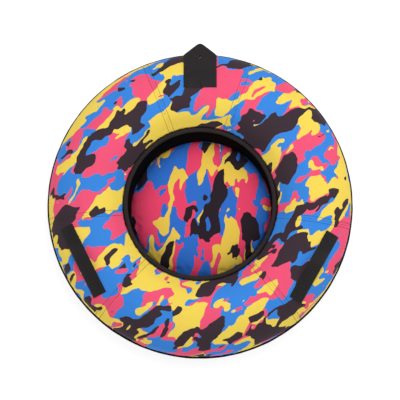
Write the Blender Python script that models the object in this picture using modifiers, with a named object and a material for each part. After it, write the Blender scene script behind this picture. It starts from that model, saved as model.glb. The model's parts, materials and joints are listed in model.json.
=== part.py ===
"""Inflatable snow tube: a rubber ring in a zipped cloth cover, with a padded seat in its hole.

Metres, +Z up. The origin is on the ring's axis at the flat underside, and +Y points to the tow strap.
A section angle runs round the ring's section: 0 at the outer side, 90 degrees at the top.
"""

import math

import bmesh
import bpy
from mathutils import Matrix, Vector

# Ring section
cover_outer_radius = 0.461
cover_hole_radius = 0.225
ring_height = 0.230
floor_contact_width = 0.090

# Cover
panel_cloth = 0.0012
base_cloth = 0.002
wall_cloth = 0.0015
seam_angle = math.radians(-8)
narrow_panel_arc = math.radians(41)
front_panel_at = math.radians(91)
left_panel_at = math.radians(207)
right_panel_at = math.radians(331)
piping_radius = 0.0035
piping_stand = 0.001
rim_overhang = 0.0075
rim_band_width = 0.0145
rim_band_height = 0.010
rim_drop = 0.062
rim_edge_share = 0.2

# Seat
pad_thickness = 0.030
seat_edge_height = 0.076
seat_crown = 0.038
seat_edge_clearance = 0.0032
seat_draw_in = 0.016
seat_bottom_draw_in = 0.040
gather_count = 20
gather_depth = 0.0016

# Inner tube and valve
tube_slack = 0.0028
tube_wall = 0.0018
wall_clearance = 0.0016
valve_at = math.radians(269)
patch_radius = 0.010
patch_thickness = 0.002
patch_margin = 0.002
stem_radius = 0.0039
stem_bore = 0.0024
stem_length = 0.017
chamfer_share = 0.85
stem_flange_radius = 0.0065
stem_flange_thickness = 0.001
core_length = 0.010
core_bore = 0.0011
core_head_share = 0.4
pin_radius = 0.0006
pin_stand = 0.0015
cap_wall = 0.0011
cap_length = 0.010
cap_cover = 0.0075
cap_ridge_count = 12
cap_ridge_depth = 0.0005

# Zipper
zipper_at = math.radians(269)
zipper_section_angle = math.radians(-30)
zipper_arc_length = 0.350
zipper_opening_width = 0.018
zipper_width = 0.023
zipper_tape = 0.001
zipper_stand = 0.0006
tooth_pitch = 0.006
tooth_width = 0.003
tooth_length = 0.003
tooth_thickness = 0.002
tooth_free_share = 0.65
tooth_gap = 0.0014
tape_end_margin = 0.009
slider_length = 0.012
slider_width = 0.010
slider_plate = 0.001
slider_clearance = 0.00035
slider_post_length = 0.004
slider_post_width = 0.0008
bridge_bar = 0.0013
bridge_opening = 0.0030
bridge_depth = 0.0016
pull_length = 0.020
pull_width = 0.009
pull_thickness = 0.0014
pull_eye_width = 0.0046
pull_eye_length = 0.0054
stop_length = 0.003
stop_width = 0.007
stop_thickness = 0.0015

# Tow strap
tow_webbing_width = 0.047
tow_leg_gap = 0.0055
tow_sewn_inset = 0.058
tow_sewn_length = 0.057
tow_free_leg = 0.051
tow_layer_gap = 0.002
tow_fold_width = 0.003
webbing_thickness = 0.0025

# Hand straps
hand_webbing_width = 0.045
hand_strap_length = 0.228
hand_sewn_length = 0.050
hand_strap_inset = 0.070
left_strap_at = math.radians(206.5)
right_strap_at = math.radians(330.5)
grip_rise = 0.018

# Clearances and facets
seat_gap = 0.0003
strap_gap = 0.0005
cut_overrun = 0.002
narrow_panel_steps = 7
band_steps = 8
tape_steps = 24
panel_degrees_a_step = 5.6
section_steps = 10
tube_section_steps = 15
tube_ring_steps = 32
ring_steps = 60
turned_steps = 18

# Colours
YELLOW = (0.93, 0.68, 0.10)
PINK_RED = (0.94, 0.10, 0.20)
BLUE = (0.05, 0.28, 0.76)
CHARCOAL = (0.045, 0.032, 0.040)
BLACK = (0.020, 0.018, 0.019)
RIM_BLACK = (0.036, 0.031, 0.032)
RUBBER = (0.016, 0.016, 0.017)
FOAM = (0.62, 0.60, 0.55)
BRASS = (0.71, 0.52, 0.24)
GUNMETAL = (0.16, 0.16, 0.17)

# Sizes that follow from those above
section_half_width = (cover_outer_radius - cover_hole_radius) / 2
section_radius = (cover_outer_radius + cover_hole_radius) / 2
section_half_height = ring_height / 2
contact_share = floor_contact_width / 2 / section_half_width
lower_half_height = section_half_height / math.sqrt(1 - contact_share**2)
floor_angle = -math.asin(section_half_height / lower_half_height)
wall_outer_radius = cover_hole_radius + tube_slack - wall_clearance
wall_inner_radius = wall_outer_radius - wall_cloth
floor_top = base_cloth + seat_gap
rim_outer_radius = cover_hole_radius + rim_overhang
rim_middle_height = ring_height - rim_drop
tow_sewn_to = cover_outer_radius - tow_sewn_inset
tow_sewn_from = tow_sewn_to - tow_sewn_length
hand_strap_radius = cover_outer_radius - hand_strap_inset


def scene_collection(name):
    found = bpy.data.collections.new(name)
    bpy.context.scene.collection.children.link(found)
    return found


for old in list(bpy.data.objects):
    bpy.data.objects.remove(old, do_unlink=True)
PARTS = scene_collection("snow_tube")
CUTTERS = scene_collection("cutters")


def material(name, color, roughness, metallic=0.0):
    made = bpy.data.materials.new(name + "_material")
    made.use_nodes = True
    shader = made.node_tree.nodes["Principled BSDF"]
    shader.inputs["Base Color"].default_value = (*color, 1.0)
    shader.inputs["Roughness"].default_value = roughness
    shader.inputs["Metallic"].default_value = metallic
    return made


def part(name, mesh, color, roughness=0.8, metallic=0.0, place=None):
    """Puts a mesh in the model as a named piece with its own material."""
    mesh.shade_smooth()
    mesh.set_sharp_from_angle(angle=math.radians(40))
    mesh.materials.clear()
    mesh.materials.append(material(name, color, roughness, metallic))
    made = bpy.data.objects.new(name, mesh)
    PARTS.objects.link(made)
    if place is not None:
        made.matrix_world = place
    return made


def helper(name, mesh, place=None):
    """A cutter, or a shape that is joined to a piece: never rendered, drawn as a wire."""
    made = bpy.data.objects.new(name, mesh)
    CUTTERS.objects.link(made)
    made.hide_render = True
    made.display_type = "WIRE"
    if place is not None:
        made.matrix_world = place
    return made


def boolean(target, other, operation):
    modifier = target.modifiers.new(other.name, "BOOLEAN")
    modifier.operation = operation
    modifier.object = other
    modifier.solver = "EXACT"


def solidify(target, thickness, offset):
    modifier = target.modifiers.new("Cloth", "SOLIDIFY")
    modifier.thickness = thickness
    modifier.offset = offset
    modifier.use_even_offset = True


def turn(target, steps, arc=math.tau):
    modifier = target.modifiers.new("Turn", "SCREW")
    modifier.angle = arc
    modifier.steps = steps
    modifier.render_steps = steps
    modifier.use_merge_vertices = True
    modifier.merge_threshold = 0.0001


def profile_mesh(name, points, closed=False):
    """A line of (radius, height) points in the XZ plane, to be turned about Z."""
    mesh = bmesh.new()
    corners = [mesh.verts.new((radius, 0, height)) for radius, height in points]
    ends = corners[1:] + corners[:1] if closed else corners[1:]
    for first, second in zip(corners, ends):
        mesh.edges.new((first, second))
    made = bpy.data.meshes.new(name)
    mesh.to_mesh(made)
    mesh.free()
    return made


def turned_solid(
    name, points, color, roughness=0.8, metallic=0.0, steps=ring_steps, closed=False, place=None
):
    made = part(name, profile_mesh(name, points, closed), color, roughness, metallic, place)
    turn(made, steps)
    return made


def turned_cloth(name, points, thickness, color, start, arc, steps, roughness=0.85):
    """A cloth shell over part of the ring, from its outer face's profile, thickened inwards."""
    place = Matrix.Rotation(start, 4, "Z")
    made = part(name, profile_mesh(name, points), color, roughness, place=place)
    turn(made, steps, arc)
    solidify(made, thickness, -1)
    return made


def ellipse(radius, height, half_width, half_height, count):
    """A closed oval profile, clockwise, so that its outer side runs down."""
    angles = [-math.tau * i / count for i in range(count)]
    return [(radius + half_width * math.cos(a), height + half_height * math.sin(a)) for a in angles]


def outline_mesh(name, outlines, thickness):
    """A flat plate from closed outlines in XY, the first one outside and the rest its windows."""
    curve = bpy.data.curves.new(name + "_outline", "CURVE")
    curve.dimensions = "2D"
    curve.fill_mode = "BOTH"
    curve.extrude = thickness / 2
    for outline in outlines:
        spline = curve.splines.new("POLY")
        spline.points.add(len(outline) - 1)
        for point, (x, y) in zip(spline.points, outline):
            point.co = (x, y, 0, 1)
        spline.use_cyclic_u = True
    guide = bpy.data.objects.new(name + "_outline", curve)
    CUTTERS.objects.link(guide)
    bpy.context.view_layer.update()
    made = bpy.data.meshes.new_from_object(guide.evaluated_get(bpy.context.evaluated_depsgraph_get()))
    bpy.data.objects.remove(guide)
    mesh = bmesh.new()
    mesh.from_mesh(made)
    bmesh.ops.remove_doubles(mesh, verts=mesh.verts, dist=seat_gap / 10)
    bmesh.ops.recalc_face_normals(mesh, faces=mesh.faces)
    mesh.to_mesh(made)
    mesh.free()
    made.name = name
    return made


def box_mesh(name, boxes):
    """Boxes as (centre, size) pairs, each from a cube primitive, in one mesh."""
    mesh = bmesh.new()
    for centre, size in boxes:
        bmesh.ops.create_cube(mesh, size=1, matrix=Matrix.LocRotScale(Vector(centre), None, Vector(size)))
    made = bpy.data.meshes.new(name)
    mesh.to_mesh(made)
    mesh.free()
    return made


def placed(origin, x_axis, y_axis, z_axis):
    made = Matrix((x_axis, y_axis, z_axis)).transposed().to_4x4()
    made.translation = origin
    return made


def radial(angle):
    return Vector((math.cos(angle), math.sin(angle), 0))


def section_point(angle, inset=0.0):
    """(radius, height) on the cover's outer face, or that far inside it, at a section angle."""
    rise = section_half_height if math.sin(angle) >= 0 else lower_half_height
    return (
        section_radius + (section_half_width - inset) * math.cos(angle),
        section_half_height + (rise - inset) * math.sin(angle),
    )


def section_normal(angle):
    """(radial, upward) parts of the cover's outward normal at a section angle."""
    rise = section_half_height if math.sin(angle) >= 0 else lower_half_height
    return Vector((math.cos(angle) / section_half_width, math.sin(angle) / rise)).normalized()


def on_cover(x, y, lift):
    """The point that stands lift above the cover's upper face over the plan position (x, y)."""
    outward = Vector((x, y, 0))
    angle = math.acos((outward.length - section_radius) / section_half_width)
    radius, height = section_point(angle)
    across, up = section_normal(angle)
    outward.normalize()
    return outward * (radius + across * lift) + Vector((0, 0, height + up * lift))


def section_line(first, last, count):
    return [section_point(first + (last - first) * i / count) for i in range(count + 1)]


def section_arc(width):
    """The section angle that a width takes along the cover."""
    return width / section_half_width


# Cover panels: from the rim's edge straight to the ring, over its top and down to the outer seam
def rim_tangent_angle(radius, height):
    across = (radius - section_radius) / section_half_width
    up = (height - section_half_height) / section_half_height
    return math.atan2(up, across) - math.acos(1 / math.hypot(across, up))


def build_panels():
    rim_edge = (rim_outer_radius + 2 * seat_gap, rim_middle_height + rim_band_height * rim_edge_share)
    leave = rim_tangent_angle(*rim_edge)
    lower = seam_angle + section_arc(piping_radius + 2 * seat_gap)
    profile = [rim_edge] + section_line(leave, lower, section_steps)
    seam_gap_angle = seat_gap / rim_outer_radius
    centres = [
        ("left_strap", left_panel_at, YELLOW),
        ("right_strap", right_panel_at, BLUE),
        ("front", front_panel_at, PINK_RED),
    ]
    for side, centre, colour in centres:
        start = centre - narrow_panel_arc / 2 + seam_gap_angle
        arc = narrow_panel_arc - 2 * seam_gap_angle
        turned_cloth("top_panel_" + side, profile, panel_cloth, colour, start, arc, narrow_panel_steps)
    wide = [
        ("top_panel_rear", left_panel_at, right_panel_at, CHARCOAL),
        ("top_panel_right", right_panel_at, front_panel_at + math.tau, YELLOW),
        ("top_panel_left", front_panel_at, left_panel_at, BLUE),
    ]
    for name, before, after, colour in wide:
        start = before + narrow_panel_arc / 2 + seam_gap_angle
        arc = after - before - narrow_panel_arc - 2 * seam_gap_angle
        steps = round(math.degrees(arc) / panel_degrees_a_step)
        turned_cloth(name, profile, panel_cloth, colour, start, arc, steps)


def build_rim_and_wall():
    rim_radius = rim_outer_radius - rim_band_width / 2
    oval = ellipse(rim_radius, rim_middle_height, rim_band_width / 2, rim_band_height / 2, 8)
    turned_solid("rim_binding", oval, RIM_BLACK, 0.75, closed=True)
    top = rim_middle_height - rim_band_height / 2 - seat_gap
    wall = [
        (wall_inner_radius, floor_top),
        (wall_inner_radius, top),
        (wall_outer_radius, top),
        (wall_outer_radius, floor_top),
    ]
    turned_solid("seat_wall", wall, BLACK, 0.85, closed=True)


def build_seat():
    """The cushion starts as a sphere, whose rings take the crown, the drawn-in side and the bottom."""
    pad_radius = wall_inner_radius - wall_clearance
    pad_top = floor_top + pad_thickness
    pad = [(0, pad_top), (pad_radius, pad_top), (pad_radius, floor_top), (0, floor_top)]
    turned_solid("seat_foam_pad", pad, FOAM, 0.95)

    crown_rings = 8
    side_shares = ((0.25, 0.30), (0.75, 0.62), (1.0, 1.0))
    crown_power = 2.6
    ripple_power = 6
    edge_radius = wall_inner_radius - seat_edge_clearance
    bottom = pad_top + seat_gap
    side_height = seat_edge_height - bottom
    rings = [(0, seat_edge_height + seat_crown, 0)]
    for ring in range(1, crown_rings + 1):
        share = ring / crown_rings
        fall = 1 - share**crown_power
        rings.append((edge_radius * share, seat_edge_height + seat_crown * fall, share**ripple_power))
    for draw_share, drop_share in side_shares:
        radius = edge_radius - (seat_draw_in if drop_share < 1 else seat_bottom_draw_in) * draw_share
        rings.append((radius, seat_edge_height - side_height * drop_share, (1 - drop_share) / 2))
    rings.append(((edge_radius - seat_bottom_draw_in) / 2, bottom, 0))
    rings.append((0, bottom, 0))

    mesh = bmesh.new()
    bmesh.ops.create_uvsphere(mesh, u_segments=2 * gather_count, v_segments=len(rings) - 1, radius=1)
    for vertex in mesh.verts:
        polar = math.acos(max(-1, min(1, vertex.co.z)))
        around = math.atan2(vertex.co.y, vertex.co.x)
        radius, height, weight = rings[round(polar / math.pi * (len(rings) - 1))]
        ripple = gather_depth * weight * math.cos(gather_count * around)
        vertex.co = radial(around) * (radius + ripple if radius else 0) + Vector((0, 0, height + ripple))
    made = bpy.data.meshes.new("seat_cushion")
    mesh.to_mesh(made)
    mesh.free()
    part("seat_cushion", made, BLUE, 0.85)


# Base cover: a flat floor, a side band that stops at the zipper, and a band above and below the zipper
def zipper_frame(along=0.0):
    """Origin on the teeth's middle line; X along the arc, Y up the cover, Z out of it."""
    across, up = section_normal(zipper_section_angle)
    radius, height = section_point(zipper_section_angle)
    angle = zipper_at + along / radius
    outward = radial(angle)
    normal = outward * across + Vector((0, 0, up))
    tangent = Vector((-outward.y, outward.x, 0))
    origin = outward * (radius + across * zipper_stand) + Vector((0, 0, height + up * zipper_stand))
    return placed(origin, tangent, normal.cross(tangent), normal)


def zipper_half_arc():
    return zipper_arc_length / 2 / section_point(zipper_section_angle)[0]


def build_base():
    floor_radius = section_point(floor_angle)[0] - base_cloth
    floor = [(0, base_cloth), (floor_radius, base_cloth), (floor_radius, 0), (0, 0)]
    turned_solid("base_floor", floor, BLACK, 0.7)

    upper = seam_angle - section_arc(piping_radius + 2 * seat_gap)
    half_opening = section_arc(zipper_opening_width / 2)
    gap_angle = seat_gap / floor_radius
    half_arc = zipper_half_arc()
    start = zipper_at - half_arc + gap_angle
    arc = 2 * (half_arc - gap_angle)
    above = section_line(upper, zipper_section_angle + half_opening, 2)
    below = section_line(zipper_section_angle - half_opening, floor_angle, 4)
    whole = section_line(upper, floor_angle, 7)
    around_steps = round(ring_steps * (1 - half_arc / math.pi))
    around = math.tau - 2 * half_arc
    turned_cloth("base_side", whole, base_cloth, BLACK, zipper_at + half_arc, around, around_steps)
    turned_cloth("rear_band_upper", above, base_cloth, BLACK, start, arc, band_steps)
    turned_cloth("rear_band_lower", below, base_cloth, BLACK, start, arc, band_steps)

    radius, height = section_point(seam_angle, -piping_stand)
    cord = ellipse(radius, height, piping_radius, piping_radius, 6)
    turned_solid("edge_piping", cord, BLACK, 0.6, closed=True)


# Zipper
def tape_profile(first, last):
    """The tape's outer face as (radius, height), from first to last along the way up the cover."""
    middle = zipper_frame()
    outward = radial(zipper_at)
    points = []
    for up in (last, first):
        point = middle @ Vector((0, up, zipper_tape / 2))
        points.append((point.dot(outward), point.z))
    return points


def build_tape(name, side):
    """A tape and its row of teeth; side is 1 above the middle line and -1 below it."""
    inner = tooth_gap / 2 + tooth_length * tooth_free_share
    outer = zipper_width / 2
    first, last = sorted((side * inner, side * outer))
    half_arc = zipper_half_arc() - 2 * seat_gap / cover_hole_radius
    profile = tape_profile(first, last)
    start = zipper_at - half_arc
    tape = turned_cloth(name, profile, zipper_tape, BLACK, start, 2 * half_arc, tape_steps)
    half_run = zipper_arc_length / 2 - tape_end_margin
    count = int(2 * half_run / tooth_pitch)
    teeth = bmesh.new()
    for index in range(count):
        along = (index - (count - 1) / 2) * tooth_pitch + side * tooth_pitch / 4
        middle = Vector((0, side * (tooth_gap + tooth_length) / 2, 0))
        size = Vector((tooth_width, tooth_length, tooth_thickness))
        place = zipper_frame(along) @ Matrix.LocRotScale(middle, None, size)
        bmesh.ops.create_cube(teeth, size=1, matrix=place)
    mesh = bpy.data.meshes.new(name + "_teeth")
    teeth.to_mesh(mesh)
    teeth.free()
    boolean(tape, helper(name + "_teeth", mesh), "UNION")
    return tape


def slider_rest():
    """How far along the arc the slider's middle rests, at the closed end."""
    return zipper_arc_length / 2 - tape_end_margin - slider_length / 2


def build_slider():
    """Two plates joined by a post between the rows of teeth, with a bridge for the pull tab."""
    rest = zipper_frame(slider_rest())
    plate_inner = tooth_thickness / 2 + slider_clearance
    plate_middle = plate_inner + slider_plate / 2
    plate_size = (slider_length, slider_width, slider_plate)
    upper_plate = box_mesh("zipper_slider", [((0, 0, plate_middle), plate_size)])
    lower_plate = box_mesh("slider_lower_plate", [((0, 0, -plate_middle), plate_size)])
    slider = part("zipper_slider", upper_plate, GUNMETAL, 0.35, 0.9, rest)
    lower = helper("slider_lower_plate", lower_plate, rest)
    post_size = (slider_post_length, slider_post_width, 2 * plate_middle)
    post = helper("slider_post", box_mesh("slider_post", [((0, 0, 0), post_size)]), rest)
    bridge_half = bridge_opening / 2
    outline = [
        (-bridge_half - bridge_bar, -slider_plate / 2),
        (-bridge_half, -slider_plate / 2),
        (-bridge_half, bridge_opening),
        (bridge_half, bridge_opening),
        (bridge_half, -slider_plate / 2),
        (bridge_half + bridge_bar, -slider_plate / 2),
        (bridge_half + bridge_bar, bridge_opening + bridge_bar),
        (-bridge_half - bridge_bar, bridge_opening + bridge_bar),
    ]
    plate_top = plate_inner + slider_plate
    upright = placed(Vector((0, 0, plate_top)), Vector((0, 1, 0)), Vector((0, 0, 1)), Vector((1, 0, 0)))
    bridge = helper("slider_bridge", outline_mesh("slider_bridge", [outline], bridge_depth), rest @ upright)
    boolean(slider, post, "UNION")
    boolean(slider, lower, "UNION")
    boolean(slider, bridge, "UNION")

    bar = (pull_width - pull_eye_width) / 2
    eye_top = pull_thickness / 2
    eye_bottom = -eye_top - pull_eye_length + pull_thickness
    half = pull_width / 2
    corner = bar / 2
    tab = [
        (-half, eye_top),
        (half, eye_top),
        (half, corner - pull_length),
        (half - corner, -pull_length),
        (corner - half, -pull_length),
        (-half, corner - pull_length),
    ]
    window = [
        (-pull_eye_width / 2, -eye_top),
        (-pull_eye_width / 2, eye_bottom),
        (pull_eye_width / 2, eye_bottom),
        (pull_eye_width / 2, -eye_top),
    ]
    hinge = rest @ Vector((0, 0, plate_top + bridge_opening / 2))
    tangent = rest.to_3x3() @ Vector((1, 0, 0))
    upwards = Vector((0, 0, 1))
    hanging = placed(hinge, tangent, upwards, tangent.cross(upwards))
    plate = outline_mesh("zipper_pull", [tab, window], pull_thickness)
    pull = part("zipper_pull", plate, GUNMETAL, 0.35, 0.9, hanging)
    axis = bpy.data.objects.new("zipper_travel_axis", None)
    PARTS.objects.link(axis)
    slider.parent = axis
    pull.parent = axis


def build_zipper():
    build_tape("zipper_tape_upper", 1)
    build_tape("zipper_tape_lower", -1)
    build_slider()
    for name, side in (("zipper_stop_closed", 1), ("zipper_stop_open", -1)):
        along = side * (zipper_arc_length / 2 - tape_end_margin + stop_length)
        stand = zipper_tape / 2 + seat_gap + stop_thickness / 2
        size = (stop_length, stop_width, stop_thickness)
        mesh = box_mesh(name, [((0, 0, stand), size)])
        part(name, mesh, GUNMETAL, 0.35, 0.9, zipper_frame(along))


# Inner tube and valve
def tube_point(angle):
    """(radius, height) on the inner tube's outer face, which is flat where it meets the floor."""
    radius, height = section_point(angle, tube_slack)
    return radius, max(height, floor_top)


def valve_section_angle():
    """The section angle at which the tube faces the corner of wall and floor, found by halving."""
    half_width = section_half_width - tube_slack
    half_height = lower_half_height - tube_slack
    first, last = -math.pi, -math.pi / 2
    for _ in range(30):
        angle = (first + last) / 2
        radius, height = tube_point(angle)
        facing = Vector((math.cos(angle) / half_width, math.sin(angle) / half_height))
        to_corner = Vector((wall_outer_radius - radius, floor_top - height))
        if facing.cross(to_corner) > 0:
            first = angle
        else:
            last = angle
    return angle


def tube_profile():
    """The tube's section, clockwise, with one flat face across the valve patch."""
    half_flat = section_arc(patch_radius + patch_margin)
    first = valve_section_angle() - half_flat
    sweep = math.tau - 2 * half_flat
    return [tube_point(first - sweep * i / (tube_section_steps - 1)) for i in range(tube_section_steps)]


def valve_frame():
    """Origin on the flat face of the tube's outer side; Z out along the valve."""
    profile = tube_profile()
    flattened = math.cos(math.pi / tube_ring_steps)
    lower, upper = (Vector((radius * flattened, height)) for radius, height in (profile[0], profile[-1]))
    outward = radial(valve_at)
    middle = (lower + upper) / 2
    chord = (upper - lower).normalized()
    axis = outward * -abs(chord.y) - Vector((0, 0, abs(chord.x)))
    side = Vector((-outward.y, outward.x, 0))
    return placed(outward * middle.x + Vector((0, 0, middle.y)), side, axis.cross(side), axis)


def build_tube():
    place = Matrix.Rotation(valve_at - math.pi / tube_ring_steps, 4, "Z")
    profile = tube_profile()
    tube = turned_solid("inner_tube", profile, RUBBER, 0.6, 0.0, tube_ring_steps, True, place)
    solidify(tube, tube_wall, -1)
    hole_radius = stem_radius + seat_gap
    reach = tube_wall + cut_overrun
    drill = [(0, cut_overrun), (hole_radius, cut_overrun), (hole_radius, -reach), (0, -reach)]
    bore = helper("valve_hole", profile_mesh("valve_hole", drill), valve_frame())
    turn(bore, turned_steps)
    boolean(tube, bore, "DIFFERENCE")


def build_valve():
    valve = valve_frame()
    patch_bottom = seat_gap
    patch_top = patch_bottom + patch_thickness
    clear = stem_radius + seat_gap
    patch = [
        (clear, patch_bottom),
        (clear, patch_top),
        (patch_radius * chamfer_share, patch_top),
        (patch_radius, patch_bottom),
    ]
    turned_solid("valve_patch", patch, RUBBER, 0.7, steps=turned_steps, closed=True, place=valve)

    flange_top = -tube_wall - 3 * seat_gap
    flange_bottom = flange_top - stem_flange_thickness
    stem = [
        (stem_bore, flange_bottom),
        (stem_bore, stem_length),
        (stem_radius * chamfer_share, stem_length),
        (stem_radius, stem_length - stem_radius * (1 - chamfer_share)),
        (stem_radius, flange_top),
        (stem_flange_radius, flange_top),
        (stem_flange_radius, flange_bottom),
    ]
    turned_solid("valve_stem", stem, BRASS, 0.35, 1.0, turned_steps, True, valve)

    core_radius = stem_bore - 2 * seat_gap
    core_top = stem_length - seat_gap
    core_bottom = core_top - core_length
    core_waist = core_radius * chamfer_share
    core = [
        (core_bore, core_bottom),
        (core_bore, core_top),
        (core_radius, core_top),
        (core_radius, core_top - core_length * core_head_share),
        (core_waist, core_top - core_length * core_head_share - core_radius + core_waist),
        (core_waist, core_bottom),
    ]
    turned_solid("valve_core", core, BRASS, 0.4, 1.0, turned_steps, True, valve)

    pin_top = core_top - pin_stand
    pin_bottom = core_bottom - pin_stand * 2
    plug_top = core_bottom - seat_gap
    pin = [
        (0, pin_top),
        (pin_radius, pin_top),
        (pin_radius, plug_top),
        (core_waist, plug_top),
        (core_waist, pin_bottom),
        (0, pin_bottom),
    ]
    turned_solid("valve_pin", pin, BRASS, 0.35, 1.0, turned_steps, place=valve)

    cap_bottom = stem_length - cap_cover
    cap_top = cap_bottom + cap_length
    cap_inside = stem_radius + seat_gap
    cap_radius = cap_inside + cap_wall
    cap = [
        (0, cap_top),
        (cap_radius * chamfer_share, cap_top),
        (cap_radius, cap_top - cap_wall),
        (cap_radius, cap_bottom),
        (cap_inside, cap_bottom),
        (cap_inside, stem_length + seat_gap),
        (0, stem_length + seat_gap),
    ]
    made = turned_solid("valve_cap", cap, BLACK, 0.45, steps=2 * cap_ridge_count, place=valve)
    grooves = []
    for index in range(cap_ridge_count):
        turned = Matrix.Rotation(math.tau * index / cap_ridge_count, 3, "Z")
        size = (2 * cap_ridge_depth, 2 * cap_ridge_depth, cap_length + 2 * cut_overrun)
        middle = Vector((cap_radius, 0, cap_bottom + cap_length / 2 + cap_wall))
        grooves.append((turned @ middle, size, turned))
    mesh = bmesh.new()
    for middle, size, turned in grooves:
        place = Matrix.LocRotScale(middle, turned.to_quaternion(), Vector(size))
        bmesh.ops.create_cube(mesh, size=1, matrix=place)
    cutter = bpy.data.meshes.new("cap_grooves")
    mesh.to_mesh(cutter)
    mesh.free()
    boolean(made, helper("cap_grooves", cutter, valve), "DIFFERENCE")


# Webbing
def webbing(name, point_at, steps, width_steps, place=None):
    """A strap from a grid: point_at(along, across) gives its underside for shares from 0 to 1."""
    mesh = bmesh.new()
    bmesh.ops.create_grid(mesh, x_segments=steps, y_segments=width_steps, size=0.5)
    back = Matrix.Identity(4) if place is None else place.inverted()
    for vertex in mesh.verts:
        vertex.co = back @ point_at(vertex.co.x + 0.5, vertex.co.y + 0.5)
    made = bpy.data.meshes.new(name)
    mesh.to_mesh(made)
    mesh.free()
    strap = part(name, made, BLACK, 0.75, place=place)
    solidify(strap, webbing_thickness, 1)
    return strap


def tow_frame():
    """Origin on the loop's hinge line, at the webbing's top face; Y out along the loop, Z up from it."""
    top = on_cover(0, tow_sewn_to, strap_gap + webbing_thickness)
    angle = math.acos((tow_sewn_to - section_radius) / section_half_width)
    across, up = section_normal(angle)
    normal = Vector((0, across, up))
    side = Vector((1, 0, 0))
    return placed(top, side, normal.cross(side), normal)


def build_tow_strap():
    inner = tow_leg_gap / 2
    outer = inner + tow_webbing_width
    for name, side in (("tow_leg_left", -1), ("tow_leg_right", 1)):
        first, last = sorted((side * inner, side * outer))

        def sewn(along, across, first=first, last=last):
            y = tow_sewn_from + (tow_sewn_to - tow_sewn_from) * along
            hinge_y = (tow_frame() @ Vector((0, 0, -webbing_thickness))).y
            y = min(y, hinge_y)
            flat = on_cover(0, y, strap_gap)
            return Vector((last + (first - last) * across, flat.y, flat.z))

        webbing(name, sewn, 4, 1)

    # The free loop: two leg ends, each folded at 45 degrees into the cross band behind them
    frame = tow_frame()
    start = seat_gap
    roof = tow_free_leg
    apex = roof + outer
    front_middle = -webbing_thickness / 2
    leg_ends = []
    for side in (-1, 1):
        leg_ends.append([
            (side * inner, start),
            (side * outer, start),
            (side * outer, roof),
            (side * inner, apex - inner),
        ])
    depth = 2 * webbing_thickness + tow_layer_gap
    band = [(-outer, roof), (outer, roof), (0, apex)]
    fold_down = tow_fold_width * math.sqrt(2)
    folds = [
        (-outer, roof),
        (-outer + fold_down, roof),
        (0, apex - fold_down),
        (outer - fold_down, roof),
        (outer, roof),
        (0, apex),
    ]
    loop = part(
        "tow_loop",
        outline_mesh("tow_loop", [folds], depth),
        BLACK,
        0.75,
        place=frame @ Matrix.Translation((0, 0, -depth / 2)),
    )
    for index, outline in enumerate(leg_ends):
        mesh = outline_mesh("loop_leg_" + str(index), [outline], webbing_thickness)
        place = frame @ Matrix.Translation((0, 0, front_middle))
        boolean(loop, helper("loop_leg_" + str(index), mesh, place), "UNION")
    mesh = outline_mesh("loop_band", [band], webbing_thickness)
    place = frame @ Matrix.Translation((0, 0, webbing_thickness / 2 - depth))
    boolean(loop, helper("loop_band", mesh, place), "UNION")


def build_hand_strap(side, at):
    """Two sewn ends that follow the cover, and a free grip that stands off it between them."""
    outward = radial(at)
    tangent = Vector((-outward.y, outward.x, 0))
    slope = math.asin((hand_strap_radius - section_radius) / section_half_width)
    plan_width = hand_webbing_width * math.cos(slope)
    half_length = hand_strap_length / 2
    half_grip = half_length - hand_sewn_length

    def plan(along, across):
        spot = outward * (hand_strap_radius + (0.5 - across) * plan_width) + tangent * along
        return spot.x, spot.y

    def sewn(first, last):
        def point_at(along, across):
            return on_cover(*plan(first + (last - first) * along, across), strap_gap)

        return point_at

    def grip(along, across):
        place = (2 * along - 1) * (half_grip - seat_gap)
        swell = (1 + math.cos(math.pi * place / half_grip)) / 2
        return on_cover(*plan(place, across), strap_gap) + Vector((0, 0, grip_rise * swell))

    name = "hand_strap_" + side
    webbing(name + "_end_a", sewn(-half_length, -half_grip), 4, 4)
    webbing(name + "_end_b", sewn(half_grip, half_length), 4, 4)
    middle = on_cover(*plan(0, 0.5), strap_gap)
    webbing(name + "_grip", grip, 12, 4, Matrix.Translation(middle))


build_panels()
build_rim_and_wall()
build_seat()
build_base()
build_zipper()
build_tube()
build_valve()
build_tow_strap()
build_hand_strap("left", left_strap_at)
build_hand_strap("right", right_strap_at)
bpy.context.view_layer.update()
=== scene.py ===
"""Snow tube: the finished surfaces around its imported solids. Metres, +Z up, +Y towards the tow strap.

A section angle runs round the ring's section: 0 at the outer side, 90 degrees at the top.
A way is a length along a cloth's section line, and an angle goes round the ring's axis.
A reach is how far from its middle a dent or a weight dies away.
"""

import json
import random
from functools import partial
from math import acos, asin, atan2, cos, dist, exp, hypot, pi, radians, sin, sqrt, tau

import bpy
import numpy as np
from mathutils import Matrix, Vector


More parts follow.
